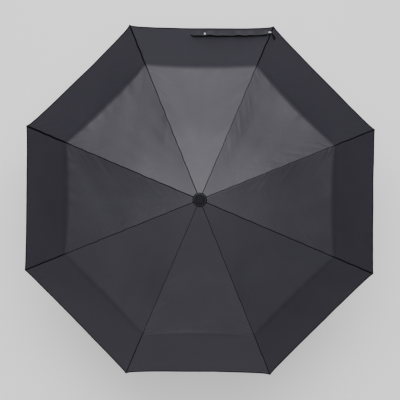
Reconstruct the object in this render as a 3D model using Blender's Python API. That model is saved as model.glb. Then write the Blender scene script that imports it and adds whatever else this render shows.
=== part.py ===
"""Folding umbrella, three-fold, eight ribs, opened. Metres, +Z up along the shaft, origin at the centre of the handle's flat end.

Each rib set is drawn once in its own radial plane (x outwards, y across, z up) and copied round the shaft.
In that plane, N is the pivot in the top notch, P where the stretcher meets the inner rib, Q the joint from
inner to middle rib, K the joint from middle to outer rib, R the stretcher's pivot in the runner, S and W the
two ends of the control link. NP and RP have the same length, so that the runner's travel is exact.
"""

import math

import bmesh
import bpy
from mathutils import Matrix, Vector

MM = 0.001

# ---- driving dimensions, millimetres and degrees ----
RIBS = 8
FIRST_AZIMUTH = 22.5
PIVOT_R = 9.5  # radius of both pivot rings
NOTCH_Z = 588.0
INNER_LEN, INNER_ELEV = 178.0, -14.0
Q_RISE = 2.0  # joint Q above the inner rib's centre line
P_AT, P_DROP = 78.0, 3.4  # joint P along and below the inner rib
MIDDLE_LEN, MIDDLE_ELEV = 190.0, -17.0
K_DROP = 4.4  # joint K below joint Q's line, across the middle rib
OUTER_LEN, OUTER_ELEV = 159.0, -39.0
CRANK_S, CRANK_W = 14.0, 13.8
CRANK_W_ANGLE = 203.0  # in the middle rib's own frame
TUBE_TOP_R, TUBE_MID_R, TUBE_LOW_R, WALL = 6.25, 5.4, 4.55, 0.5
TOP_TUBE = (410.0, 590.0)
MID_TUBE = (245.0, 425.0)
LOW_TUBE = (40.0, 259.0)
GRIP_TOP = 75.0
GRIP_R = 16.0
FABRIC = 0.6
SEAM_GAP = 0.25

RP = math.hypot(P_AT, P_DROP)
STRETCH_ELEV = -(INNER_ELEV - math.degrees(math.atan2(P_DROP, P_AT)))
RUNNER_Z = NOTCH_Z - 2 * RP * math.sin(math.radians(STRETCH_ELEV))


def turn(u, v, deg):
    c, s = math.cos(math.radians(deg)), math.sin(math.radians(deg))
    return (u * c - v * s, u * s + v * c)


def add(a, b):
    return (a[0] + b[0], a[1] + b[1])


N = (PIVOT_R, NOTCH_Z)
P = add(N, turn(P_AT, -P_DROP, INNER_ELEV))
Q = add(N, turn(INNER_LEN, Q_RISE, INNER_ELEV))
K = add(Q, turn(MIDDLE_LEN, -K_DROP, MIDDLE_ELEV))
R = (PIVOT_R, RUNNER_Z)
S = add(P, turn(-CRANK_S, 0, STRETCH_ELEV))
W = add(Q, turn(*turn(CRANK_W, 0, CRANK_W_ANGLE), MIDDLE_ELEV))
LINK_LEN = math.hypot(W[0] - S[0], W[1] - S[1])
LINK_ELEV = math.degrees(math.atan2(W[1] - S[1], W[0] - S[0]))

# ---- a clean scene ----
for o in list(bpy.data.objects):
    bpy.data.objects.remove(o, do_unlink=True)
for m in list(bpy.data.meshes):
    bpy.data.meshes.remove(m)
COLLECTION = bpy.context.scene.collection


def material(name, colour, rough, metal=0.0):
    m = bpy.data.materials.new(name)
    m.use_nodes = True
    b = m.node_tree.nodes["Principled BSDF"]
    b.inputs["Base Color"].default_value = (*colour, 1)
    b.inputs["Roughness"].default_value = rough
    b.inputs["Metallic"].default_value = metal
    m.diffuse_color = (*colour, 1)
    return m


CLOTH = material("canopy_cloth", (0.045, 0.047, 0.053), 0.62)
BLACK_PLASTIC = material("black_plastic", (0.02, 0.02, 0.022), 0.38)
GRIP_RUBBER = material("soft_touch_grip", (0.022, 0.022, 0.024), 0.7)
STEEL = material("black_painted_steel", (0.05, 0.05, 0.055), 0.35, 0.6)
ALLOY = material("grey_alloy", (0.38, 0.39, 0.41), 0.35, 1.0)
CHROME = material("plated_tube", (0.55, 0.56, 0.58), 0.2, 1.0)
WIRE = material("steel_wire", (0.5, 0.5, 0.5), 0.3, 1.0)


# ---- shapes, each returned as a mesh datablock in millimetres ----
def mesh_from(bm, name="shape"):
    bmesh.ops.recalc_face_normals(bm, faces=bm.faces)
    me = bpy.data.meshes.new(name)
    bm.to_mesh(me)
    bm.free()
    return me


def arc(cx, cy, r, a0, a1, n):
    """Points on an arc from a0 to a1 degrees."""
    return [
        (
            cx + r * math.cos(math.radians(a0 + (a1 - a0) * i / n)),
            cy + r * math.sin(math.radians(a0 + (a1 - a0) * i / n)),
        )
        for i in range(n + 1)
    ]


def plate(outline, y0, y1):
    """A flat plate in the rib's plane: the outline in x and z, as thick as y0 to y1."""
    bm = bmesh.new()
    low = [bm.verts.new((x, y0, z)) for x, z in outline]
    face = bm.faces.new(low)
    made = bmesh.ops.extrude_face_region(bm, geom=[face])
    bmesh.ops.translate(
        bm,
        verts=[g for g in made["geom"] if isinstance(g, bmesh.types.BMVert)],
        vec=(0, y1 - y0, 0),
    )
    return mesh_from(bm)


def box(x0, x1, y0, y1, z0, z1):
    return plate([(x0, z0), (x1, z0), (x1, z1), (x0, z1)], y0, y1)


def peg(x, z, r, y0, y1, n=8):
    """A cylinder across the rib's plane."""
    return plate(arc(x, z, r, 0, 360 - 360 / n, n - 1), y0, y1)


def lathe(profile, n=24, axis="Z"):
    """A closed ring or a solid turned about an axis. The profile is (radius, height) pairs; radius 0 ends it on the axis."""
    bm = bmesh.new()
    rows = []
    for r, h in profile:
        if r < 1e-6:
            rows.append([bm.verts.new((0, 0, h))])
        else:
            rows.append(
                [
                    bm.verts.new(
                        (
                            r * math.cos(2 * math.pi * i / n),
                            r * math.sin(2 * math.pi * i / n),
                            h,
                        )
                    )
                    for i in range(n)
                ]
            )
    closed = len(rows[0]) > 1 and len(rows[-1]) > 1
    pairs = list(zip(rows[:-1], rows[1:]))
    if closed:
        pairs.append((rows[-1], rows[0]))
    for a, b in pairs:
        for i in range(n):
            j = (i + 1) % n
            if len(a) == 1:
                bm.faces.new((a[0], b[i], b[j]))
            elif len(b) == 1:
                bm.faces.new((a[i], a[j], b[0]))
            else:
                bm.faces.new((a[i], a[j], b[j], b[i]))
    if axis == "X":
        bmesh.ops.transform(
            bm, matrix=Matrix.Rotation(math.radians(90), 4, "Y"), verts=bm.verts
        )
    return mesh_from(bm)


def moved(mesh, matrix):
    mesh = mesh.copy()
    mesh.transform(matrix)
    return mesh


def shift(mesh, x=0.0, y=0.0, z=0.0):
    return moved(mesh, Matrix.Translation((x, y, z)))


def joined(base, others, operation):
    """Boolean of base with each of the others in turn, applied."""
    carrier = bpy.data.objects.new("work", base)
    COLLECTION.objects.link(carrier)
    helpers = []
    for other in others:
        o = bpy.data.objects.new("helper", other)
        COLLECTION.objects.link(o)
        o.hide_render = True
        helpers.append(o)
        mod = carrier.modifiers.new("b", "BOOLEAN")
        mod.operation = operation
        mod.solver = "EXACT"
        mod.object = o
    bpy.context.view_layer.update()
    graph = bpy.context.evaluated_depsgraph_get()
    result = bpy.data.meshes.new_from_object(carrier.evaluated_get(graph))
    for o in [carrier, *helpers]:
        bpy.data.objects.remove(o, do_unlink=True)
    return result


def union(base, *others):
    return joined(base, others, "UNION")


def cut(base, *others):
    return joined(base, others, "DIFFERENCE")


def put(name, mesh, mat, parent=None, location=(0, 0, 0), pitch=0.0, smooth=35):
    """A finished piece. Its mesh is in millimetres about its own origin; pitch is its elevation in the rib's plane."""
    if not mesh.get("in_metres"):
        mesh.transform(Matrix.Scale(MM, 4))
        mesh["in_metres"] = 1
        mesh.materials.clear()
        mesh.materials.append(mat)
        mesh.shade_smooth()
        mesh.set_sharp_from_angle(angle=math.radians(smooth))
    o = bpy.data.objects.new(name, mesh)
    COLLECTION.objects.link(o)
    o.parent = parent
    o.location = Vector(location) * MM
    o.rotation_euler = (0, -math.radians(pitch), 0)
    return o


def empty(name, azimuth, parent=None):
    e = bpy.data.objects.new(name, None)
    COLLECTION.objects.link(e)
    e.rotation_euler = (0, 0, math.radians(azimuth))
    e.parent = parent
    return e


# ---- one rib set ----
def make_inner_rib():
    """Channel section, open downwards, a pierced tongue in the notch, ears at P and Q with their rivets."""
    end = INNER_LEN
    outline = (
        [(10, -1.6), (P_AT - 2.4, -1.6)]
        + arc(P_AT, -P_DROP, 1.7, 205, 335, 3)
        + [(P_AT + 2.4, -1.6), (end - 1.4, -1.6)]
        + arc(end, Q_RISE, 1.9, -45, 160, 5)
        + [(end - 3.2, 1.6), (10, 1.6)]
    )
    walls = [plate(outline, 1.4, 2.0), plate(outline, -2.0, -1.4)]
    web = box(9.6, end - 18, -1.7, 1.7, 0.9, 1.5)
    block = box(8.5, 15, -1.7, 1.7, -1.3, 1.3)
    tongue = plate(arc(0, 0, 1.9, 50, 310, 6) + [(9.5, -1.5), (9.5, 1.5)], -1.2, 1.2)
    rivets = [
        peg(P_AT, -P_DROP, 0.6, -1.7, 1.7, 6),
        peg(end, Q_RISE, 0.6, -1.7, 1.7, 6),
    ]
    body = union(block, tongue, web, *walls, *rivets)
    return cut(body, peg(0, 0, 0.95, -2, 2))


def make_stretcher():
    """Origin at P, the runner's end at -x. A grooved bar with the link's pin at S."""
    outline = arc(0, 0, 1.5, 125, -125, 5) + arc(-RP, 0, 1.5, -55, -305, 5)
    bar = plate(outline, -1.1, 1.1)
    bar = union(bar, peg(-CRANK_S, 0, 0.6, 0.5, 3.6, 6))
    groove = box(-RP + 8, -CRANK_S - 6, -0.6, 0.6, -3, 0.5)
    return cut(
        bar, groove, peg(0, 0, 0.85, -2, 2), peg(-RP, 0, 0.9, -2, 2)
    )


def make_middle_rib():
    """Origin at Q. A narrow tongue between the inner rib's ears, with the crank to W, then a channel to K."""
    w = turn(CRANK_W, 0, CRANK_W_ANGLE)
    side = turn(0, 1.3, CRANK_W_ANGLE)
    tongue = plate(arc(0, 0, 1.9, 60, 150, 3)
                   + [(w[0] - side[0], w[1] - side[1])]
                   + arc(w[0], w[1], 1.3, CRANK_W_ANGLE - 60, CRANK_W_ANGLE + 60, 3)
                   + [(w[0] + side[0], w[1] + side[1])]
                   + [(1.0, -3.3), (12, -3.3), (12, -0.7), (2.2, -0.7)],
                   -1.05, 1.05)
    outline = (
        [(4.5, -3.6), (MIDDLE_LEN - 2.6, -3.6)]
        + arc(MIDDLE_LEN, -K_DROP, 1.8, 215, 375, 4)
        + [(MIDDLE_LEN - 0.4, -0.4), (4.5, -0.4)]
    )
    walls = [plate(outline, 1.15, 1.7), plate(outline, -1.7, -1.15)]
    web = box(5.0, MIDDLE_LEN - 4, -1.4, 1.4, -1.1, -0.5)
    block = box(6.5, 11, -1.4, 1.4, -3.2, -0.8)
    boss = peg(w[0], w[1], 0.8, 0.5, 2.2, 6)
    rivet = peg(MIDDLE_LEN, -K_DROP, 0.6, -1.4, 1.4, 6)
    body = union(tongue, block, web, *walls, boss, rivet)
    return cut(body, peg(0, 0, 0.85, -2, 2))


def make_outer_rib():
    """Origin at K. A flattened eye, a round wire and the rounded tip that the canopy is sewn to."""
    wire = lathe(
        [
            (0, 4.5),
            (1.1, 4.5),
            (1.1, OUTER_LEN - 9),
            (1.9, OUTER_LEN - 8.4),
            (2.0, OUTER_LEN - 3),
            (1.4, OUTER_LEN - 0.8),
            (0, OUTER_LEN),
        ],
        8,
        axis="X",
    )
    wire = shift(wire, z=1.9)
    eye = plate(arc(0, 0, 1.7, 80, 300, 5) + [(7.5, 1.1), (7.5, 2.7)], -0.8, 0.8)
    body = union(wire, eye)
    return cut(
        body,
        peg(0, 0, 0.85, -2, 2),
        shift(peg(0, 0, 0.6, -4, 4, 6), x=OUTER_LEN - 5.5, z=1.9),
    )


def make_link():
    """Origin at S, towards W along +x: a flat strip beside the inner rib."""
    outline = arc(0, 0, 1.5, 45, 315, 6) + arc(LINK_LEN, 0, 1.5, -135, 135, 6)
    return cut(
        plate(outline, 2.5, 3.3),
        peg(0, 0, 0.85, 2, 4),
        peg(LINK_LEN, 0, 0.7, 2, 4),
    )


INNER, STRETCHER, MIDDLE, OUTER, LINK = (
    make_inner_rib(),
    make_stretcher(),
    make_middle_rib(),
    make_outer_rib(),
    make_link(),
)

assembly = empty("umbrella", 0)
for k in range(RIBS):
    plane = empty(f"rib_plane_{k + 1}", FIRST_AZIMUTH + 360 / RIBS * k, assembly)
    put(f"inner_rib_{k + 1}", INNER, STEEL, plane, (N[0], 0, N[1]), INNER_ELEV)
    put(f"stretcher_{k + 1}", STRETCHER, STEEL, plane, (P[0], 0, P[1]), STRETCH_ELEV)
    put(f"middle_rib_{k + 1}", MIDDLE, ALLOY, plane, (Q[0], 0, Q[1]), MIDDLE_ELEV)
    put(f"outer_rib_{k + 1}", OUTER, STEEL, plane, (K[0], 0, K[1]), OUTER_ELEV)
    put(f"control_link_{k + 1}", LINK, STEEL, plane, (S[0], 0, S[1]), LINK_ELEV)


# ---- shaft, notch, runner and handle ----
def tube(r, z0, z1, n=20):
    return lathe([(r, z0), (r, z1), (r - WALL, z1), (r - WALL, z0)], n)


def slots(width, r0, z0, z1):
    """Eight radial cutters, one in each rib's plane."""
    made = []
    for k in range(RIBS):
        cutter = box(r0, 30, -width / 2, width / 2, z0, z1)
        turned = Matrix.Rotation(
            math.radians(FIRST_AZIMUTH + 360 / RIBS * k), 4, "Z"
        )
        made.append(moved(cutter, turned))
    return made


notch = lathe(
    [
        (0, 3.2), (6.5, 3.2), (6.5, -14), (8.0, -14), (8.0, -7), (12.4, -6), (13, -5.4),
        (13, 4.4), (12.4, 5), (4.0, 5), (4.0, 11), (3.4, 11.6), (0, 11.6),
    ],
    24,
)
notch = cut(
    notch,
    lathe([(8.7, -0.95), (10.3, -0.95), (10.3, 8), (8.7, 8)], 24),
    *slots(3.1, 7.4, -8, 2.5),
)
put("top_notch", notch, BLACK_PLASTIC, assembly, (0, 0, NOTCH_Z))

ring = lathe(arc(PIVOT_R, 0, 0.6, 0, 288, 4), 24)
put("notch_ring_wire", ring, WIRE, assembly, (0, 0, NOTCH_Z))
put("runner_ring_wire", ring, WIRE, assembly, (0, 0, RUNNER_Z))

runner = lathe(
    [
        (6.7, -20), (8.0, -20), (8.6, -19.4), (8.6, -13), (9.6, -12), (9.6, -10.4),
        (8.4, -9.2), (8.4, -6.6), (12.4, -5), (13, -4.4), (13, 4.4), (12.4, 5), (6.7, 5),
    ],
    24,
)
runner = cut(
    runner,
    lathe([(8.7, -9), (10.3, -9), (10.3, 0.95), (8.7, 0.95)], 24),
    *slots(2.9, 7.6, -3.2, 8),
)
put("runner", runner, BLACK_PLASTIC, assembly, (0, 0, RUNNER_Z))

put("upper_tube", tube(TUBE_TOP_R, *TOP_TUBE), STEEL, assembly)
put("middle_tube", tube(TUBE_MID_R, *MID_TUBE), CHROME, assembly)
put("lower_tube", tube(TUBE_LOW_R, *LOW_TUBE), CHROME, assembly)

# The grip is turned, with a bore for the lower tube, a seat for the end cap and a pocket for the button.
grip = lathe(
    [
        (9.3, 5.3), (GRIP_R - 1.4, 5.3), (GRIP_R - 0.6, 6.4), (GRIP_R - 0.2, 20),
        (GRIP_R - 1.6, 34), (GRIP_R - 1.5, 46), (GRIP_R, 60), (GRIP_R - 0.2, 68),
        (GRIP_R - 2.2, GRIP_TOP - 1.0), (GRIP_R - 4.4, GRIP_TOP), (4.9, GRIP_TOP),
        (4.9, 39), (9.3, 39),
    ],
    24,
)
BUTTON_Z = 59.0
grip = cut(grip, box(9.2, 25, -4.9, 4.9, BUTTON_Z - 7.4, BUTTON_Z + 7.4))
put("handle_grip", grip, GRIP_RUBBER, assembly)

# The button is an oval post with a domed face and a broad foot inside the pocket.
oval = [(4.2 * math.cos(a), 6.6 * math.sin(a)) for a in [2 * math.pi * i / 16 for i in range(16)]]
bm = bmesh.new()
rings = []
for x, share in ((12.2, 1.0), (16.4, 1.0), (17.2, 0.86), (17.5, 0.6)):
    rings.append([bm.verts.new((x, y * share, BUTTON_Z + z * share)) for y, z in oval])
for a, b in zip(rings[:-1], rings[1:]):
    for i in range(16):
        bm.faces.new((a[i], a[(i + 1) % 16], b[(i + 1) % 16], b[i]))
bm.faces.new(rings[0][::-1])
bm.faces.new(rings[-1])
put("release_button", mesh_from(bm), BLACK_PLASTIC, assembly)

end_cap = lathe(
    [
        (0, 0), (GRIP_R - 2.4, 0), (GRIP_R - 1.4, 0.9), (GRIP_R - 1.2, 5.0),
        (9.0, 5.0), (9.0, 15), (0, 15),
    ],
    24,
)
# The slot takes a wrist loop.
end_cap = cut(end_cap, box(9.6, 12.2, -4, 4, -1, 8))
put("handle_end_cap", end_cap, BLACK_PLASTIC, assembly)

top_cap = lathe(
    [
        (0, 6.4), (4.4, 6.4), (4.4, 0), (16.2, 0), (17, 0.8), (16.7, 1.9), (13.6, 2.6),
        (12.4, 3.4), (12.0, 7.4), (11.0, 9.2), (8.6, 10.3), (4.5, 10.9), (0, 11.0),
    ],
    24,
)
CAP_Z = NOTCH_Z + 5.3 + FABRIC + 0.3
put("top_cap", top_cap, BLACK_PLASTIC, assembly, (0, 0, CAP_Z))

# ---- canopy: eight cut panels, each stretched between two ribs ----
HALF = math.radians(180 / RIBS)


def over(joint, up, elev):
    return add(joint, turn(0, up, elev))


F_NOTCH = (13.6, NOTCH_Z + 5.3)
F_Q = over(Q, 2.6, (INNER_ELEV + MIDDLE_ELEV) / 2)
F_K = over(K, 5.7, (MIDDLE_ELEV + OUTER_ELEV) / 2)

F_T = add(K, turn(OUTER_LEN - 3.0, 4.4, OUTER_ELEV))
RIB_LINE = [(5.4, NOTCH_Z + 5.3), F_NOTCH, F_Q, F_K, F_T]


def rounded(points, reach):
    """The rib line with its corners eased over a few millimetres: (radius, height) pairs."""
    made = [points[0]]
    for before, at, after, r in zip(points[:-2], points[1:-1], points[2:], reach):
        la, lb = math.dist(before, at), math.dist(at, after)
        a = [at[i] + (before[i] - at[i]) * r / la for i in (0, 1)]
        b = [at[i] + (after[i] - at[i]) * r / lb for i in (0, 1)]
        made += [tuple(a), tuple((a[i] + 2 * at[i] + b[i]) / 4 for i in (0, 1)), tuple(b)]
    return made + [points[-1]]


LINE = rounded(RIB_LINE, (3.0, 20.0, 8.0))
# Extra stations keep the long spans from being one facet.
STATIONS = []
for a, b in zip(LINE[:-1], LINE[1:]):
    parts = max(1, round(math.dist(a, b) / 90))
    STATIONS += [tuple(a[i] + (b[i] - a[i]) * j / parts for i in (0, 1)) for j in range(parts)]
STATIONS.append(LINE[-1])
ACROSS = 4


def panel_point(station, t, lift=0.0):
    """A point of the panel in its own frame, x along its middle, t from -1 to 1 between its ribs. The hem bows inwards a little."""
    last = len(STATIONS) - 1
    r, h = STATIONS[min(station, last)]
    if station == last:
        before = STATIONS[last - 1]
        bow = 6.0 * (1 - t * t) / math.dist(before, (r, h))
        r, h = r + (before[0] - r) * bow, h + (before[1] - h) * bow
    half_width = max(0.05, r * math.sin(HALF) - SEAM_GAP)
    return Vector((r * math.cos(HALF), half_width * t, h + lift))


def make_panel():
    bm = bmesh.new()
    grid = [
        [
            [bm.verts.new(panel_point(i, -1 + 2 * j / ACROSS, lift)) for j in range(ACROSS + 1)]
            for i in range(len(STATIONS))
        ]
        for lift in (0.0, FABRIC)
    ]
    rows, cols = len(STATIONS), ACROSS + 1
    for level in grid:
        for i in range(rows - 1):
            for j in range(cols - 1):
                bm.faces.new(
                    (level[i][j], level[i + 1][j], level[i + 1][j + 1], level[i][j + 1])
                )
    low, high = grid
    for i in range(rows - 1):
        for j in (0, cols - 1):
            bm.faces.new((low[i][j], low[i + 1][j], high[i + 1][j], high[i][j]))
    for i in (0, rows - 1):
        for j in range(cols - 1):
            bm.faces.new((low[i][j], low[i][j + 1], high[i][j + 1], high[i][j]))
    return mesh_from(bm)


PANEL = make_panel()
for k in range(RIBS):
    gore = empty(f"panel_plane_{k + 1}", FIRST_AZIMUTH + 360 / RIBS * (k + 0.5), assembly)
    put(f"canopy_panel_{k + 1}", PANEL, CLOTH, gore)

# ---- tie strap: a folded band sewn near one tip, lying along the hem on the second panel ----
STRAP_LEN, STRAP_WIDE, STRAP_THICK = 205.0, 22.0, 0.8
STRAP_FROM_HEM, STRAP_FROM_RIB = 11.0, 12.0


def outer_zone(back, across, lift):
    """A point on the panel's outer slope: back from the hem up the slope, across from the panel's middle line."""
    a, b = F_T, F_K
    slope = math.dist(a, b)
    r = a[0] + (b[0] - a[0]) * back / slope
    h = a[1] + (b[1] - a[1]) * back / slope
    nx, nz = (a[1] - b[1]) / slope, -(a[0] - b[0]) / slope
    if nz < 0:
        nx, nz = -nx, -nz
    return Vector((r * math.cos(HALF) + nx * lift, across, h + FABRIC + nz * lift))


def make_strap():
    steps = 14
    right = -(F_T[0] * math.sin(HALF) - STRAP_FROM_RIB)
    bm = bmesh.new()
    rows = []
    for i in range(steps + 1):
        y = right + STRAP_LEN * i / steps
        taper = 1.0 if i else 0.7
        mid = STRAP_FROM_HEM + STRAP_WIDE / 2
        half = STRAP_WIDE / 2 * taper
        rows.append(
            [
                bm.verts.new(outer_zone(mid - half, y, 0.5)),
                bm.verts.new(outer_zone(mid + half, y, 0.5)),
                bm.verts.new(outer_zone(mid + half, y, 0.5 + STRAP_THICK)),
                bm.verts.new(outer_zone(mid - half, y, 0.5 + STRAP_THICK)),
            ]
        )
    for a, b in zip(rows[:-1], rows[1:]):
        for i in range(4):
            bm.faces.new((a[i], a[(i + 1) % 4], b[(i + 1) % 4], b[i]))
    bm.faces.new(rows[0])
    bm.faces.new(rows[-1][::-1])
    return mesh_from(bm)


strap_plane = empty("strap_plane", FIRST_AZIMUTH + 360 / RIBS * 1.5, assembly)
put("tie_strap", make_strap(), CLOTH, strap_plane)

for m in list(bpy.data.meshes):
    if not m.users:
        bpy.data.meshes.remove(m)
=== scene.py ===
"""Looks of the folding umbrella: canopy cloth, seams, strap, cap, frame and handle finishes, light and camera."""
import math

import bmesh
import bpy
import numpy as np
from mathutils import Matrix, Vector


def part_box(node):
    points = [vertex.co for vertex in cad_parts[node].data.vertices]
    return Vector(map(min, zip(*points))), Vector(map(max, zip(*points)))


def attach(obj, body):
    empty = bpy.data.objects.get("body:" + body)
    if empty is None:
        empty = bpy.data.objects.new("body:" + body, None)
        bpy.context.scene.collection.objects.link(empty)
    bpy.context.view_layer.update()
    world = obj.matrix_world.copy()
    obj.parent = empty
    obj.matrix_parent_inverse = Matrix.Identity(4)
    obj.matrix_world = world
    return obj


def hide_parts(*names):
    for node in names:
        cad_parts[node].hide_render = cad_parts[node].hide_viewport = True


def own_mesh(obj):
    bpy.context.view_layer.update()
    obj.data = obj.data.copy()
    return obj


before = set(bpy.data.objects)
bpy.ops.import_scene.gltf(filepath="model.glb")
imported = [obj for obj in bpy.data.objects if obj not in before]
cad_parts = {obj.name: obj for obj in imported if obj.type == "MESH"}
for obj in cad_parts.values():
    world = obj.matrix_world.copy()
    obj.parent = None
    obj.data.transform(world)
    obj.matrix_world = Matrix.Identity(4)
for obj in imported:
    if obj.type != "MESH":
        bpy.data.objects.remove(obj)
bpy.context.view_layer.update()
MM = 0.001
RIBS = 8
AZ = [math.radians(22.5 + 45.0 * k) for k in range(RIBS)]
HALF = math.pi / RIBS
SH, CH = math.sin(HALF), math.cos(HALF)

# ------------------------------------------------------------------ camera, floor, light
CAM_H = 3.28
cam_data = bpy.data.cameras.new("camera")
cam_data.sensor_width = 36.0
cam_data.lens = 36.0 * 1119.0 / 400.0
camera = bpy.data.objects.new("camera", cam_data)
bpy.context.scene.collection.objects.link(camera)
camera.location = (0.0006, -0.0004, CAM_H)
camera.rotation_euler = (0, 0, math.radians(0.6))
bpy.context.scene.camera = camera


def link(o):
    bpy.context.scene.collection.objects.link(o)
    return o


def area_light(name, loc, target, size, power, colour=(1, 1, 1), wide=None):
    d = bpy.data.lights.new(name, "AREA")
    d.shape = "RECTANGLE" if wide else "DISK"
    d.size = wide or size
    if wide:
        d.size_y = size
    d.energy = power
    d.color = colour
    o = link(bpy.data.objects.new(name, d))
    o.location = loc
    o.rotation_euler = (Vector(target) - Vector(loc)).to_track_quat("-Z", "Y").to_euler()
    return o


area_light("light_top_back", (0.0, 1.75, 3.7), (0, 0, 0.5), 1.2, 108, wide=3.6)
area_light("light_overhead", (0.0, 0.65, 4.4), (0, 0, 0.5), 3.2, 98)
area_light("light_front", (-0.3, -3.0, 1.15), (0, 0, 0.45), 0.8, 74, wide=5.0)
area_light("light_back_low", (0.0, 3.4, 1.8), (0, 0, 0.45), 1.2, 36)

world = bpy.data.worlds.new("studio")
world.use_nodes = True
world.node_tree.nodes["Background"].inputs[0].default_value = (1, 1, 1, 1)
world.node_tree.nodes["Background"].inputs[1].default_value = 0.80
# The sky is a plain pale backdrop and lights nothing.
for kind in ("diffuse", "glossy", "transmission", "scatter"):
    world.cycles_visibility[kind] = False
bpy.context.scene.world = world


# ------------------------------------------------------------------ node helpers and materials
class Nodes:
    """A short way to write a node tree."""

    def __init__(self, name):
        self.mat = bpy.data.materials.new(name)
        self.mat.use_nodes = True
        self.tree = self.mat.node_tree
        self.bsdf = self.tree.nodes["Principled BSDF"]

    def new(self, kind, inputs=None, **props):
        n = self.tree.nodes.new(kind)
        for k, v in props.items():
            setattr(n, k, v)
        for k, v in (inputs or {}).items():
            self.put(n.inputs[k], v)
        return n

    def put(self, socket, v):
        if isinstance(v, bpy.types.NodeSocket):
            self.tree.links.new(v, socket)
        elif isinstance(v, bpy.types.Node):
            self.tree.links.new(v.outputs[0], socket)
        else:
            socket.default_value = v

    def math(self, op, a, b=0.0, c=None, clamp=False):
        n = self.new("ShaderNodeMath", operation=op, use_clamp=clamp)
        self.put(n.inputs[0], a)
        self.put(n.inputs[1], b)
        if c is not None:
            self.put(n.inputs[2], c)
        return n.outputs[0]

    def ramp(self, fac, stops):
        n = self.new("ShaderNodeValToRGB")
        e = n.color_ramp.elements
        while len(e) < len(stops):
            e.new(0.5)
        for el, (pos, col) in zip(e, stops):
            el.position = pos
            el.color = (*col, 1) if len(col) == 3 else col
        self.put(n.inputs[0], fac)
        return n.outputs[0]

    def mix(self, fac, a, b):
        n = self.new("ShaderNodeMix", data_type="RGBA")
        self.put(n.inputs[0], fac)
        for i, v in ((6, a), (7, b)):
            self.put(n.inputs[i], v if isinstance(v, (bpy.types.NodeSocket, bpy.types.Node)) else (*v, 1))
        return n.outputs[2]

    def noise(self, vec, scale, detail=3.0, rough=0.55):
        n = self.new("ShaderNodeTexNoise", {"Scale": scale, "Detail": detail, "Roughness": rough})
        if vec is not None:
            self.put(n.inputs["Vector"], vec)
        return n.outputs["Fac"]

    def coords(self, kind="Object"):
        return self.new("ShaderNodeTexCoord").outputs[kind]

    def bump(self, height, strength, distance, normal=None):
        n = self.new("ShaderNodeBump", {"Strength": strength, "Distance": distance, "Height": height})
        if normal is not None:
            self.put(n.inputs["Normal"], normal)
        return n.outputs[0]

    def set(self, **kw):
        for k, v in kw.items():
            self.put(self.bsdf.inputs[k.replace("_", " ")], v)
        return self.mat


CLOTH_COLOUR = (0.0284, 0.0265, 0.0353)


def weave(n, uv, pitch=0.00062):
    """Plain weave from the cloth's own UV, in metres: warp and weft threads that pass over one another."""
    sep = n.new("ShaderNodeSeparateXYZ", {"Vector": uv})
    u = n.math("MULTIPLY", sep.outputs[0], 2 * math.pi / pitch)
    v = n.math("MULTIPLY", sep.outputs[1], 2 * math.pi / pitch)
    su, sv = n.math("SINE", u), n.math("SINE", v)
    return n.math("MULTIPLY_ADD", n.math("MULTIPLY", su, sv), 0.5, 0.5)


def cloth_material(name, colour, seam=True, gloss=0.52):
    n = Nodes(name)
    uv = n.new("ShaderNodeUVMap", uv_map="cloth").outputs[0]
    sep = n.new("ShaderNodeSeparateXYZ", {"Vector": uv})
    w = weave(n, uv)
    obj = n.coords("Object")
    slub = n.new("ShaderNodeMapping", {"Vector": uv, "Scale": (1800.0, 60.0, 1.0)})
    slub2 = n.new("ShaderNodeMapping", {"Vector": uv, "Scale": (50.0, 1500.0, 1.0)})
    streak = n.math("ADD", n.noise(slub.outputs[0], 1.0, 2.0), n.noise(slub2.outputs[0], 1.0, 2.0))
    cloud = n.noise(obj, 7.0, 4.0, 0.6)
    tone = n.math("MULTIPLY_ADD", streak, 0.22, 0.78)
    tone = n.math("MULTIPLY", tone, n.math("MULTIPLY_ADD", cloud, 0.26, 0.87))
    tone = n.math("MULTIPLY", tone, n.math("MULTIPLY_ADD", w, 0.22, 0.89))
    base = n.new("ShaderNodeMix", data_type="RGBA", blend_type="MULTIPLY")
    n.put(base.inputs[0], 1.0)
    n.put(base.inputs[6], (*colour, 1))
    grey = n.new("ShaderNodeCombineColor")
    for i in range(3):
        n.put(grey.inputs[i], tone)
    n.put(base.inputs[7], grey.outputs[0])
    colour_out = base.outputs[2]
    if seam:
        # Third UV channel stands in the mesh as an attribute: the distance from the seam, in metres.
        d = n.new("ShaderNodeAttribute", attribute_name="seam").outputs["Fac"]
        # Beside the seam the cloth is painted near-black: painted shade in the seam's groove, lightly broken by the
        # stitches.
        near = n.math("SUBTRACT", 2.4, n.math("DIVIDE", d, 0.00095), clamp=True)
        stitch = n.math("SINE", n.math("MULTIPLY", sep.outputs[1], 2 * math.pi / 0.0028))
        on = n.math("MULTIPLY_ADD", stitch, 0.08, 0.92)
        colour_out = n.mix(n.math("MULTIPLY", near, on), colour_out, (0.0015, 0.0015, 0.0018))
    crumple = n.noise(obj, 95.0, 5.0, 0.62)
    normal = n.bump(crumple, 0.24, 0.0012)
    normal = n.bump(w, 0.30, 0.00012, normal)
    rough = n.math("MULTIPLY_ADD", cloud, 0.10, 0.40)
    if seam:
        # The painted seam shade is also made rougher, and its gloss is cut below, so that it stays black.
        rough = n.math("MULTIPLY_ADD", near, 0.4, rough, clamp=True)
        # The skirt hangs slacker and shows a duller face than the stretched cloth above it.
        slack = n.new("ShaderNodeAttribute", attribute_name="slack").outputs["Fac"]
        gloss = n.math("MULTIPLY_ADD", slack, -0.44, 0.52)
        gloss = n.math("MULTIPLY_ADD", near, -0.50, gloss, clamp=True)
    n.set(Base_Color=colour_out, Roughness=rough, Normal=normal,
          Sheen_Weight=0.05, Sheen_Roughness=0.38, Sheen_Tint=(0.75, 0.80, 0.92, 1),
          Specular_IOR_Level=gloss, Specular_Tint=(0.955, 0.955, 1.0, 1))
    return n.mat


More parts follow.
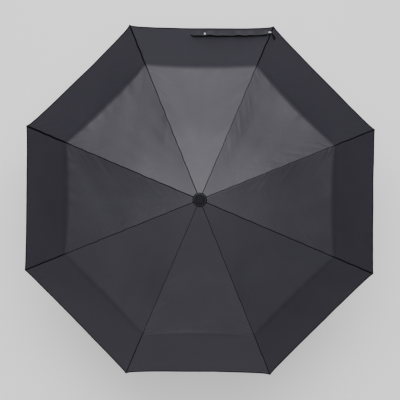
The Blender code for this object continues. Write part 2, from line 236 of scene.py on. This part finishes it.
CLOTH = cloth_material("canopy_polyester", CLOTH_COLOUR)
# Near-black cloth, used for the painted shade in the ring round the cap, the painted shadow under the strap's loose
# edge, and the strap's dark tucked end.
NEAR_BLACK_CLOTH = cloth_material("hem_tape", (0.004, 0.004, 0.005), seam=False, gloss=0.04)
STRAP = cloth_material("strap_polyester", (0.0258, 0.0250, 0.0322), seam=False, gloss=0.08)


def plain(name, colour, rough, metal=0.0, grain=0.0, grain_scale=300.0, wear=0.0, coat=0.0, stretch=(1, 1, 1)):
    """Moulded or metal finish: slight mottling, a fine surface grain and lighter rubbed spots."""
    n = Nodes(name)
    obj = n.coords("Object")
    mapped = n.new("ShaderNodeMapping", {"Vector": obj, "Scale": stretch}).outputs[0]
    mott = n.noise(obj, 60.0, 4.0)
    fine = n.noise(mapped, grain_scale, 3.0)
    lighter = tuple(min(1.0, c * 1.7 + 0.02) for c in colour)
    darker = tuple(c * 0.72 for c in colour)
    col = n.mix(mott, darker, tuple(min(1.0, c * 1.25) for c in colour))
    if wear:
        rub = n.ramp(n.noise(obj, 140.0, 6.0, 0.7), [(0.56, (0, 0, 0)), (0.70, (1, 1, 1))])
        col = n.mix(n.math("MULTIPLY", rub, wear), col, lighter)
    r = n.math("MULTIPLY_ADD", fine, 0.16, rough - 0.08, clamp=True)
    n.set(Base_Color=col, Roughness=r, Metallic=metal)
    if grain:
        n.set(Normal=n.bump(fine, 0.5, grain))
    if coat:
        n.set(Coat_Weight=coat, Coat_Roughness=0.12)
    return n.mat


BLACK_STEEL = plain("black_enamelled_steel", (0.018, 0.018, 0.020), 0.34, 0.3, 0.00002, 900, 0.25, 0.25)
ALLOY = plain("drawn_alloy", (0.46, 0.47, 0.49), 0.34, 1.0, 0.00002, 500, 0.1, 0.0, (1, 1, 12))
PLATED = plain("plated_shaft", (0.62, 0.63, 0.65), 0.16, 1.0, 0.00001, 700, 0.0, 0.0, (6, 6, 0.3))
WIRE = plain("bright_wire", (0.55, 0.55, 0.56), 0.28, 1.0, 0.00001, 900)
BLACK_PLASTIC = plain("satin_black_plastic", (0.016, 0.016, 0.018), 0.36, 0.0, 0.00003, 1200, 0.1)
# The cap's plastic is given in two tones, darker on the dome and lighter on the flange: the flange's lighter tone is a
# painted highlight, for the ring round the cap where it catches the light.
GLOSS_PLASTIC = plain("cap_plastic", (0.0085, 0.0085, 0.0115), 0.74, 0.0, 0.00002, 1100, 0.05)
CAP_RING_PAINTED_HIGHLIGHT = plain("cap_ring_plastic", (0.020, 0.020, 0.025), 0.46, 0.0, 0.00002, 1100, 0.10)
for cap_mat, shine in ((GLOSS_PLASTIC, 0.14), (CAP_RING_PAINTED_HIGHLIGHT, 0.45)):
    next(n for n in cap_mat.node_tree.nodes if n.type == "BSDF_PRINCIPLED").inputs["Specular IOR Level"].default_value = shine
SOFT_GRIP = plain("soft_touch_rubber", (0.020, 0.020, 0.022), 0.62, 0.0, 0.00005, 1600, 0.12)
BUTTON = plain("button_plastic", (0.10, 0.10, 0.105), 0.30, 0.0, 0.00002, 900, 0.1, 0.2)
NICKEL = plain("nickel_snap", (0.60, 0.60, 0.61), 0.34, 1.0)
THREAD = plain("black_thread", (0.012, 0.012, 0.013), 0.75)

floor_n = Nodes("pale_floor")
floor_n.set(Base_Color=(0.86, 0.86, 0.86, 1), Roughness=0.9, Emission_Color=(1, 1, 1, 1), Emission_Strength=0.30)
fm = bpy.data.meshes.new("floor")
fm.from_pydata([(-6, -6, 0), (6, -6, 0), (6, 6, 0), (-6, 6, 0)], [], [(0, 1, 2, 3)])
floor = link(bpy.data.objects.new("floor", fm))
floor.location.z = -0.0005
fm.materials.append(floor_n.mat)


# ------------------------------------------------------------------ the canopy's surface
# All in millimetres in one gore's frame: R is the radius at the rib, t runs from -1 at the gore's right rib to +1 at its left.
R_START, R_FLAT, R_Q, R_K, R_T = 7.6, 13.6, 183.4, 366.2, 487.1
Z_TOP, Z_K, Z_T = 593.7, 492.75, 393.0
SLOPE_A, SLOPE_C = -0.2587, -0.3138


# How wide the painted seam shade along each rib is drawn, on the inner cloth and on the skirt.
SEAM_SHADE_IN = (0.42, 0.44, 0.58, 0.68, 0.52, 0.36, 0.44, 0.66)
SEAM_SHADE_OUT = (0.85, 0.90, 1.05, 1.35, 0.90, 0.60, 0.55, 0.95)

# How far the middle of each gore's hem lies inside the line between its tips.
HEM_BOW = (5.0, 8.6, 8.4, 3.0, 3.2, 7.8, 4.4, 2.2)

# How far each gore's skirt bows out (+) or hangs in (-) between the bend and the hem.
SKIRT_BOW = (1.5, -3.5, 1.0, 2.0, 3.0, 3.0, 2.5, 1.0)


def ramp(x, w):
    """0 before a bend and x after it, eased over w on each side."""
    return np.where(x < -w, 0.0, np.where(x > w, x, (x + w) ** 2 / (4 * w)))


def ripple(x, seed, waves=4):
    """A repeatable irregular wave of about unit size."""
    out = 0.0
    for i in range(waves):
        a = math.sin(seed * 12.9898 + i * 78.233) * 43758.5453
        f = 0.7 + 0.6 * (a - math.floor(a))
        out = out + np.sin(x * f * (1 + 0.45 * i) + 6.283 * (a * 7.13 - math.floor(a * 7.13))) / (1 + 0.35 * i)
    return out / 2.2


def hem_R(t, g):
    """The hem runs nearly straight from tip to tip, bowed inwards, and flares into the tips."""
    bow = HEM_BOW[g] * (0.6 * (1 - np.abs(t) ** 3.2) + 0.4 * (1 - np.abs(t) ** 26))
    return R_T - bow - 0.5 * (1 - t * t) * ripple(t * 5.0, g + 20.5)


def surface(R, t, g, low=False):
    """A point of the cloth for arrays R and t in gore g, in millimetres."""
    away = np.maximum(1 - t * t, 0.0)
    rk = R_K - 5.0 * away
    zk = Z_K + (rk - R_K) * SLOPE_C
    # The bend over the outer joints is tight at a rib and soft in the middle of a panel.
    wk = 4.0 + 9.0 * away**0.8
    slope_e = (Z_T - zk) / (R_T - rk)
    z = (
        Z_TOP
        + SLOPE_A * ramp(R - R_FLAT, 3.0)
        + (SLOPE_C - SLOPE_A) * ramp(R - R_Q, 26.0)
    )
    z_q = Z_TOP + SLOPE_A * (R_Q - R_FLAT) + SLOPE_C * (R_K - R_Q)
    z = z + (Z_K - z_q) * np.clip((R - R_FLAT) / (R_K - R_FLAT), 0, 1)
    z = z + (slope_e - SLOPE_C) * ramp(R - rk, wk)
    inner = np.clip((R - 20) / (rk - 20), 0, 1)
    z = z - 5.5 * away * np.sin(math.pi * inner) ** 1.0 * (R / R_K)
    skirt = np.clip((R - rk) / (R_T - rk), 0, 1)
    z = z + SKIRT_BOW[g] * away * np.sin(math.pi * skirt)
    # Distance from the nearer seam, along the chord.
    d = (1 - np.abs(t)) * R * SH
    near = t > 0

    def beside(x, seed):
        """Each seam has its own puckers, which die out before the middle of the gore."""
        fade = np.clip(np.abs(t) / 0.4, 0, 1) ** 2
        return fade * np.where(near, ripple(x, seed + 2.0 * g), ripple(x, seed + 2.0 * g + 1.1))

    # Small puckers that the stitching draws across a seam, stronger on the skirt.
    strength = 0.07 + 0.30 * np.clip((R - 335) / 60, 0, 1)
    z = z + strength * np.exp(-d / 9.0) * beside(R / 1.9, 3.1) * (1 - np.exp(-d / 1.2))
    # Short gathers where each rib's joint pushes the cloth up.
    z = z + 0.34 * np.exp(-(((R - 350) / 18.0) ** 2)) * np.exp(-d / 15.0) * beside(R / 3.6 + d / 7.0, 14.3) * (1 - np.exp(-d / 1.5))
    # Longer drag lines that leave the seam at a slant and die out.
    z = z + 0.13 * np.exp(-((d - 16) / 24.0) ** 2) * beside((R + 1.2 * d) / 9.5, 9.7) * np.clip(R / 260, 0.15, 1)
    # Gathers in the bend, and long soft folds down the skirt.
    bend = np.exp(-((R - rk) / 26.0) ** 2)
    z = z + 0.55 * bend * ripple(t * 15.0 + R / 60.0, g + 31.0) * away
    z = z + 0.5 * np.sin(math.pi * np.clip(skirt, 0, 1)) ** 0.7 * ripple(t * 7.0 + skirt * 0.8, g + 47.0) * away
    # Long shallow ripples from the crown towards the bend.
    z = z + 0.30 * inner * ripple(t * 6.0, g + 63.0) * away * np.clip(R / 200, 0, 1)
    # Broad unevenness of cloth under light tension.
    z = z + 0.55 * inner * away**0.7 * (ripple(R / 34.0 + t * 2.0, g + 83.0) + ripple(t * 4.5 - R / 70.0, g + 91.0)) * np.clip(R / 150, 0, 1)
    # The hem turns down and waves slightly.
    lip = np.clip((R - (R_T - 24)) / 24, 0, 1)
    z = z + 0.8 * lip**2 * ripple(t * 16.0, g + 71.0, 5) * away**0.5
    # The seam itself lies in a shallow valley.
    z = z - 0.45 * np.exp(-((d / 1.2) ** 2))
    z = z - (0.9 if low else 0.0)
    # No seam runs dead straight: both gores follow the same slight sideways wave beside it.
    away_from_ends = np.clip((R - 26) / 60, 0, 1) * np.clip((R_T - R) / 40, 0, 1) * (1 - 0.6 * np.exp(-((R - R_K) / 12.0) ** 2))
    wave = 0.62 * away_from_ends * np.where(near, ripple(R / 11.0, (g + 1) % RIBS + 5.7), ripple(R / 11.0, g + 5.7)) * np.exp(-d / 30.0)
    wave = wave * np.clip(np.abs(t) / 0.4, 0, 1) ** 2
    side = np.where(near, 1.0, -1.0)
    # A step along +tangent of the rib, seen from this gore's middle line.
    return R * CH - wave * SH * side, R * SH * t + wave * CH, z


def gore_matrix(g):
    return Matrix.Rotation(AZ[g] + HALF, 4, "Z")


# Slant distance from the crown, for the weave's second coordinate.
def slant(R):
    return np.where(R < R_K, (R - R_START) * 1.045, (R_K - R_START) * 1.045 + (R - R_K) * 1.29)


def split_R(rib_R, lean, t):
    """Where two pieces of cloth meet: it leaves the rib at rib_R and leans outwards, so that the edge lies level when the ribs are folded."""
    return rib_R / (1 - lean * SH * (1 - np.abs(t)))


LEAN_Q, LEAN_K = SH * 0.9106, SH * 0.597


def zone_limits(zone, t, g):
    q, k = split_R(R_Q, LEAN_Q, t), split_R(R_K, LEAN_K, t)
    if zone == 0:
        return np.full_like(t, R_START), q
    return (q, k) if zone == 1 else (k, hem_R(t, g))


def cloth_piece(name, g, half, zone, rows, cols, material=CLOTH):
    """One piece of gore g: half is +1 for the side of its left rib, -1 for the right; zone 0 to 2 runs outwards."""
    # Columns are denser beside the seam.
    s = np.linspace(0, 1, cols + 1)
    tt = half * (1 - (1 - s) ** 1.7)
    lo, hi = zone_limits(zone, tt, g)
    f = np.linspace(0, 1, rows + 1)[:, None]
    if zone == 2:
        f = 1 - (1 - f) ** 1.08
    Rg = lo[None, :] + (hi - lo)[None, :] * f
    Tg = np.broadcast_to(tt, Rg.shape).copy()
    x, y, z = surface(Rg, Tg, g)
    e = 0.05
    xr, yr, zr = surface(Rg + e, Tg, g)
    tin = np.where(np.abs(Tg) > 0.9995, Tg - half * 2e-4, Tg)
    x0, y0, z0 = surface(Rg, tin, g)
    x1, y1, z1 = surface(Rg, tin + 1e-4, g)
    a = np.stack([xr - x, yr - y, zr - z], -1)
    b = np.stack([x1 - x0, y1 - y0, z1 - z0], -1)
    nrm = np.cross(a, b)
    nrm /= np.linalg.norm(nrm, axis=-1, keepdims=True)
    nrm *= np.sign(nrm[..., 2:3] + 1e-9)
    co = np.stack([x, y, z], -1)
    uvs = np.stack([Rg * SH * Tg, slant(Rg)], -1) * MM
    uvs[..., 0] += 0.5 * g
    # The painted seam shade is bolder on the skirt.
    rib = (g + 1) % RIBS if half > 0 else g
    wide = SEAM_SHADE_IN[rib] + (SEAM_SHADE_OUT[rib] - SEAM_SHADE_IN[rib]) * np.clip((Rg - 350) / 30, 0, 1)
    seam = (1 - np.abs(Tg)) * Rg * SH * MM / wide
    # The same painted shade darkens a thin line along the hem.
    hem = (hem_R(Tg, g) - Rg) * 1.16 * MM
    seam = np.minimum(seam, hem / 1.9)
    # 0 on the stretched cloth and 1 on the skirt.
    bend_R = R_K - 5.0 * (1 - Tg * Tg)
    slack = np.clip((Rg - bend_R + 10.0) / 10.0, 0, 1)
    nr, nc = Rg.shape
    if zone == 2:
        # The edge is folded under by 8 mm.
        out = (co[-1] - co[-2]) / np.linalg.norm(co[-1] - co[-2], axis=-1, keepdims=True)
        fold = ((0.45, 0.25), (0.55, 0.6), (0.2, 0.95), (-1.2, 1.25), (-8.0, 1.3))
        extra = [co[-1] + out * along - nrm[-1] * drop for along, drop in fold]
        co = np.concatenate([co, np.array(extra)], 0)
        up = nrm[-1]
        nrm = np.concatenate([nrm, np.array([out * 0.7 + up * 0.7, out, out * 0.7 - up * 0.7, -up, -up])], 0)
        uvs = np.concatenate([uvs, np.array([uvs[-1] + [0, 0.0008 * (i + 1)] for i in range(5)])], 0)
        # The turned-under rows are painted near-black too: painted shade at the turn of the hem.
        seam = np.concatenate([seam, np.array([seam[-1] * 0.0 + 0.0004] * 5)], 0)
        slack = np.concatenate([slack, np.array([slack[-1]] * 5)], 0)
        nr += 5
    turn = np.array(gore_matrix(g).to_3x3())
    verts = (co.reshape(-1, 3) @ turn.T) * MM
    norms = nrm.reshape(-1, 3) @ turn.T
    idx = np.arange(nr * nc).reshape(nr, nc)
    quads = np.stack([idx[:-1, :-1], idx[1:, :-1], idx[1:, 1:], idx[:-1, 1:]], -1).reshape(-1, 4)
    if half < 0:
        quads = quads[:, ::-1]
    me = bpy.data.meshes.new(name)
    me.from_pydata(verts.tolist(), [], quads.tolist())
    me.materials.append(material)
    layer = me.uv_layers.new(name="cloth")
    flat = uvs.reshape(-1, 2)
    loops = np.zeros(len(me.loops), dtype=np.int32)
    me.loops.foreach_get("vertex_index", loops)
    layer.data.foreach_set("uv", flat[loops].astype(np.float32).ravel())
    att = me.attributes.new("seam", "FLOAT", "POINT")
    att.data.foreach_set("value", seam.reshape(-1).astype(np.float32))
    att = me.attributes.new("slack", "FLOAT", "POINT")
    att.data.foreach_set("value", slack.reshape(-1).astype(np.float32))
    me.shade_smooth()
    me.normals_split_custom_set_from_vertices([tuple(v) for v in norms])
    return link(bpy.data.objects.new(name, me))


def seam_point(R, k, up=0.0):
    """The cloth's height on rib k's line, as a world point in metres."""
    z = float(surface(np.array([float(R)]), np.array([1.0]), k)[2][0]) + up
    return Vector((R * math.cos(AZ[k]), R * math.sin(AZ[k]), z)) * MM


ZONES = (
    ("inner_rib", R_START, R_Q, 0.13),
    ("middle_rib", R_Q, R_K, 0.105),
    ("outer_rib", R_K, R_T, 0.10),
)
STEP = 2.6
COLS = 46


def fold_with(piece, zone, rib):
    """Ride on rib's bar in that zone, with a mesh of its own."""
    body, r0, r1, share = ZONES[zone]
    p0, p1 = seam_point(r0, rib), seam_point(r1, rib)
    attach(piece, f"{body}_{rib + 1}")
    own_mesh(piece)


CLOTH_PIECES = []
for g in range(RIBS):
    for half in (1, -1):
        # The gore's left half hangs from the next rib, on that rib's right-hand side.
        rib = (g + 1) % RIBS if half > 0 else g
        for zone, (body, r0, r1, share) in enumerate(ZONES):
            piece = cloth_piece(
                f"cloth_{g + 1}_{'left' if half > 0 else 'right'}_{zone + 1}",
                g, half, zone, max(8, round((r1 - r0) * 1.1 / STEP)), COLS,
            )
            fold_with(piece, zone, rib)
            CLOTH_PIECES.append(piece)
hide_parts(*[f"canopy_panel_{k}" for k in range(1, 9)])


# ------------------------------------------------------------------ helpers for the smaller pieces
def mesh_object(name, verts, faces, mat, smooth=True, metres=False):
    me = bpy.data.meshes.new(name)
    k = 1.0 if metres else MM
    me.from_pydata([tuple(c * k for c in v) for v in verts], [], faces)
    me.materials.append(mat)
    if smooth:
        me.shade_smooth()
        me.set_sharp_from_angle(angle=math.radians(40))
    return link(bpy.data.objects.new(name, me))


def turned(name, profile, mat, n=96, z=0.0, closed=False):
    """A lathed piece about +Z from (radius, height) pairs, in millimetres; radius 0 closes on the axis."""
    verts, faces, rows = [], [], []
    for r, h in profile:
        if r < 1e-6:
            rows.append([len(verts)])
            verts.append((0, 0, h + z))
        else:
            rows.append(list(range(len(verts), len(verts) + n)))
            verts += [(r * math.cos(2 * math.pi * i / n), r * math.sin(2 * math.pi * i / n), h + z) for i in range(n)]
    pairs = list(zip(rows[:-1], rows[1:])) + ([(rows[-1], rows[0])] if closed else [])
    for a, b in pairs:
        for i in range(n):
            j = (i + 1) % n
            if len(a) == 1:
                faces.append((a[0], b[i], b[j]))
            elif len(b) == 1:
                faces.append((a[i], a[j], b[0]))
            else:
                faces.append((a[i], a[j], b[j], b[i]))
    o = mesh_object(name, verts, faces, mat)
    bm = bmesh.new()
    bm.from_mesh(o.data)
    bmesh.ops.recalc_face_normals(bm, faces=bm.faces)
    bm.to_mesh(o.data)
    bm.free()
    o.data.shade_smooth()
    o.data.set_sharp_from_angle(angle=math.radians(38))
    return o


def rounded_profile(points, radius=0.4, steps=4):
    """Profile corners eased with small arcs."""
    out = [points[0]]
    for a, p, b in zip(points[:-2], points[1:-1], points[2:]):
        la, lb = math.dist(a, p), math.dist(p, b)
        ra, rb = min(radius, la * 0.45), min(radius, lb * 0.45)
        p0 = [p[i] + (a[i] - p[i]) * ra / la for i in (0, 1)]
        p1 = [p[i] + (b[i] - p[i]) * rb / lb for i in (0, 1)]
        for s in range(steps + 1):
            u = s / steps
            out.append(tuple((1 - u) ** 2 * p0[i] + 2 * u * (1 - u) * p[i] + u * u * p1[i] for i in (0, 1)))
    return out + [points[-1]]


# ------------------------------------------------------------------ top cap
cap_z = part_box("top_cap")[0][2] / MM
cap = turned(
    "cap_moulding",
    rounded_profile(
        [(4.5, 6.3), (4.5, 0.0), (12.9, 0.0), (13.0, 1.3), (12.3, 1.35), (12.25, 3.6), (12.15, 8.3), (11.7, 9.2), (11.2, 9.45),
         (9.6, 9.75), (9.3, 9.55), (9.0, 9.8), (5.0, 10.35), (0.0, 10.6)],
        0.3,
    ),
    GLOSS_PLASTIC, z=cap_z,
)
# The flange is drawn in the lighter plastic: a painted highlight.
flange = turned(
    "cap_flange",
    rounded_profile([(12.95, 0.1), (15.4, 0.0), (15.7, 0.5), (15.5, 1.2), (14.7, 2.6), (14.0, 2.9), (13.4, 2.7), (12.95, 1.2)], 0.25),
    CAP_RING_PAINTED_HIGHLIGHT, z=cap_z, closed=True,
)
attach(flange, "shaft_top")
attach(cap, "shaft_top")
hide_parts("top_cap")
# A stiff cloth washer lies under the cap, on the gores' points; its near-black colour is painted shade, for the dark
# ring round the cap.
washer = turned(
    "crown_washer",
    rounded_profile([(7.0, 0.25), (13.0, 0.25), (17.0, -0.70), (17.5, -0.62), (17.1, -0.3), (13.0, 0.55), (7.0, 0.55)], 0.2),
    NEAR_BLACK_CLOTH, z=594.0 - 0.35, closed=True,
)
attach(washer, "shaft_top")

# ------------------------------------------------------------------ tie strap
G_STRAP = 1  # the gore facing +Y
STRAP_Y0, STRAP_Y1 = -176.0, 27.0
STRAP_NEAR, STRAP_FAR = 8.0, 34.0  # across the slope, from the hem


def on_skirt(y, delta, up):
    """A point on the strap's gore: y across it, delta up the slope from the hem, up off the cloth."""
    R = 480.0
    for _ in range(4):
        t = y / (R * SH)
        R = float(hem_R(np.array([t]), G_STRAP)[0]) - delta * 0.859
    t = y / (R * SH)
    x, yy, z = surface(np.array([R]), np.array([t]), G_STRAP)
    return Vector((float(x[0]) + up * 0.6, float(yy[0]), float(z[0]) + up * 0.8))


def strap_lift(a, b):
    """How far the strap stands off the cloth; its inner edge is loose."""
    wave = float(ripple(np.array([a * 19.0]), 5.3)[0])
    ends = min(1.0, a / 0.05) * 1.0
    return 1.0 + ends * (b**1.6) * (4.4 + 2.4 * wave) + 1.1 * math.sin(math.pi * b) * (0.6 + 0.4 * wave)


def strap_mesh():
    na, nb = 110, 12
    verts, faces, uvs = [], [], []
    for layer in (0, 1):
        for i in range(na + 1):
            a = i / na
            # The free end has rounded corners and the sewn end narrows to the rib.
            tip = max(0.0, (a - 0.955) / 0.045)
            shrink = 1 - 0.42 * tip**2.4
            root = max(0.0, (0.07 - a) / 0.07)
            near = STRAP_NEAR + root * 13.0
            far = STRAP_FAR - root * 2.0 + 0.9 * float(ripple(np.array([a * 14.0]), 8.8)[0])
            mid = (near + far) / 2
            for j in range(nb + 1):
                b = j / nb
                d = mid + (b - 0.5) * (far - near) * shrink
                y = STRAP_Y0 + (STRAP_Y1 - STRAP_Y0) * a
                h = strap_lift(a, b) + (0.0 if layer == 0 else 0.9)
                # Both long edges are folded in, which makes them a little thicker.
                h += 0.25 * layer * (1 if b < 0.16 or b > 0.84 else 0)
                verts.append(on_skirt(y, d, h))
                uvs.append((y * MM, (b * 24.0) * MM))
    cols, per = nb + 1, (na + 1) * (nb + 1)
    for i in range(na):
        for j in range(nb):
            q = [i * cols + j, (i + 1) * cols + j, (i + 1) * cols + j + 1, i * cols + j + 1]
            faces.append([per + v for v in q])
            faces.append(q[::-1])
    rim = [j for j in range(cols)] + [i * cols + nb for i in range(1, na + 1)]
    rim += [na * cols + j for j in range(nb - 1, -1, -1)] + [i * cols for i in range(na - 1, 0, -1)]
    for a, b in zip(rim, rim[1:] + rim[:1]):
        faces.append([a, b, per + b, per + a])
    turn = gore_matrix(G_STRAP).to_3x3()
    o = mesh_object("strap_band", [turn @ v for v in verts], faces, STRAP)
    layer = o.data.uv_layers.new(name="cloth")
    for loop in o.data.loops:
        layer.data[loop.index].uv = uvs[loop.vertex_index]
    # The loose inner edge is drawn in near-black cloth: a painted shadow under the lifted edge.
    o.data.materials.append(NEAR_BLACK_CLOTH)
    for poly in o.data.polygons:
        if min(v % per % cols for v in poly.vertices) >= nb - 1:
            poly.material_index = 1
    bm = bmesh.new()
    bm.from_mesh(o.data)
    bmesh.ops.recalc_face_normals(bm, faces=bm.faces)
    bm.to_mesh(o.data)
    bm.free()
    o.data.shade_smooth()
    o.data.set_sharp_from_angle(angle=math.radians(50))
    return o


strap = strap_mesh()
fold_with(strap, 2, 1)
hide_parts("tie_strap")


def on_strap(name, profile, y, delta, up, mat, n=32, narrow=1.0):
    """A small round or oval piece lying on the strap's slope."""
    o = turned(name, profile, mat, n)
    o.data.transform(Matrix.Diagonal((narrow, 1, 1, 1)))
    turn = gore_matrix(G_STRAP).to_3x3()
    at = turn @ on_skirt(y, delta, up) * MM
    tilt = turn.to_4x4() @ Matrix.Rotation(math.radians(37.5), 4, "Y")
    o.data.transform(Matrix.Translation(at) @ tilt)
    return o


def strap_up(y, delta):
    a = (y - STRAP_Y0) / (STRAP_Y1 - STRAP_Y0)
    b = min(1.0, max(0.0, (delta - STRAP_NEAR) / (STRAP_FAR - STRAP_NEAR)))
    return strap_lift(a, b) + 1.0


snap = on_strap(
    "snap_cap", rounded_profile([(2.9, -0.2), (3.0, 0.3), (2.6, 0.6), (2.2, 0.5), (1.9, 0.9), (1.1, 1.2), (0, 1.3)], 0.15),
    -8.5, 24.0, strap_up(-8.5, 24.0) - 0.1, NICKEL,
)
# The sewn end carries the other half of the fastener, pressed into an oval plate.
snap_ring = on_strap(
    "snap_socket", rounded_profile([(5.0, -0.3), (5.2, 0.4), (4.4, 1.1), (2.9, 1.15), (2.4, 0.5), (0, 0.45)], 0.2),
    -175.5, 24.5, 2.4, NICKEL, narrow=0.42,
)
for o in (snap, snap_ring):
    fold_with(o, 2, 1)


def tuck_mesh():
    """The strap's sewn end is turned round the rib and caught on the next gore as a small pinched tab."""
    verts, faces = [], []
    n, m = 14, 5
    for layer in (0, 1):
        for i in range(n + 1):
            u = i / n
            side = -1.0 + 17.0 * u
            half_width = (1.5 + 4.4 * u) * (1 + 0.12 * math.sin(9 * u))
            for j in range(m + 1):
                v = j / m * 2 - 1
                R = 466.0 - 6.0 * u + v * half_width
                t = 1 - max(side, 0.0) / (R * SH)
                x, y, z = surface(np.array([R]), np.array([t]), 0)
                lift = 1.6 + 2.6 * (1 - v * v) * (0.6 + 0.4 * math.sin(7 * u + 1)) + (0.7 if layer else 0.0)
                verts.append((float(x[0]) + 0.5 * lift, float(y[0]) + (1.0 if side < 0 else 0.0), float(z[0]) + 0.8 * lift))
    cols, per = m + 1, (n + 1) * (m + 1)
    for i in range(n):
        for j in range(m):
            q = [i * cols + j, (i + 1) * cols + j, (i + 1) * cols + j + 1, i * cols + j + 1]
            faces.append([per + k for k in q])
            faces.append(q[::-1])
    rim = list(range(cols)) + [i * cols + m for i in range(1, n + 1)]
    rim += [n * cols + j for j in range(m - 1, -1, -1)] + [i * cols for i in range(n - 1, 0, -1)]
    for a, b in zip(rim, rim[1:] + rim[:1]):
        faces.append([a, b, per + b, per + a])
    turn = gore_matrix(0).to_3x3()
    o = mesh_object("strap_tuck", [turn @ Vector(v) for v in verts], faces, NEAR_BLACK_CLOTH)
    bm = bmesh.new()
    bm.from_mesh(o.data)
    bmesh.ops.recalc_face_normals(bm, faces=bm.faces)
    bm.to_mesh(o.data)
    bm.free()
    o.data.shade_smooth()
    return o


tuck = tuck_mesh()
fold_with(tuck, 2, 1)


# ------------------------------------------------------------------ what each piece of cloth was cut to
def cut(zone, g, half):
    """Width, length and flat area of one cloth piece, in metres, from the pattern of a gore."""
    n, m = 60, 40
    t = (np.arange(m) + 0.5) / m * half
    lo, hi = zone_limits(zone, t, g)
    f = (np.arange(n)[:, None] + 0.5) / n
    R = lo + (hi - lo) * f
    rise = (0.2587 + 0.007, 0.3138 + 0.012, (Z_K - Z_T) / (R_T - R_K))[zone]
    area = float((R * SH * math.hypot(CH, rise) * (hi - lo) / n).sum() / m)
    width = float(hi.max()) * SH
    length = float((hi - lo).max()) * math.hypot(1, rise)
    if zone == 2:
        # The turning of the hem.
        area += 10.5 * width
        length += 10.5
    return width * MM, length * MM, area * MM * MM


for piece in CLOTH_PIECES:
    _, gore, side, zone = piece.name.split("_")
    gore, zone = int(gore) - 1, int(zone) - 1
    half = 1 if side == "left" else -1
    rib = (gore + 1) % RIBS if half > 0 else gore
    w, l, area = cut(zone, gore, half)


# ------------------------------------------------------------------ finishes of the frame's own pieces
def paint(node, mat):
    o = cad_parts[node]
    for i in range(max(1, len(o.material_slots))):
        if i < len(o.material_slots):
            o.material_slots[i].material = mat
        else:
            o.data.materials.append(mat)


for k in range(1, 9):
    for n in ("inner_rib", "stretcher", "outer_rib", "control_link"):
        paint(f"{n}_{k}", BLACK_STEEL)
    paint(f"middle_rib_{k}", ALLOY)
paint("upper_tube", BLACK_STEEL)
paint("middle_tube", PLATED)
paint("lower_tube", PLATED)
for n in ("top_notch", "runner", "top_cap"):
    paint(n, BLACK_PLASTIC)
for n in ("notch_ring_wire", "runner_ring_wire"):
    paint(n, WIRE)
paint("release_button", BUTTON)
paint("handle_grip", SOFT_GRIP)
paint("handle_end_cap", BLACK_PLASTIC)

bpy.context.view_layer.update()
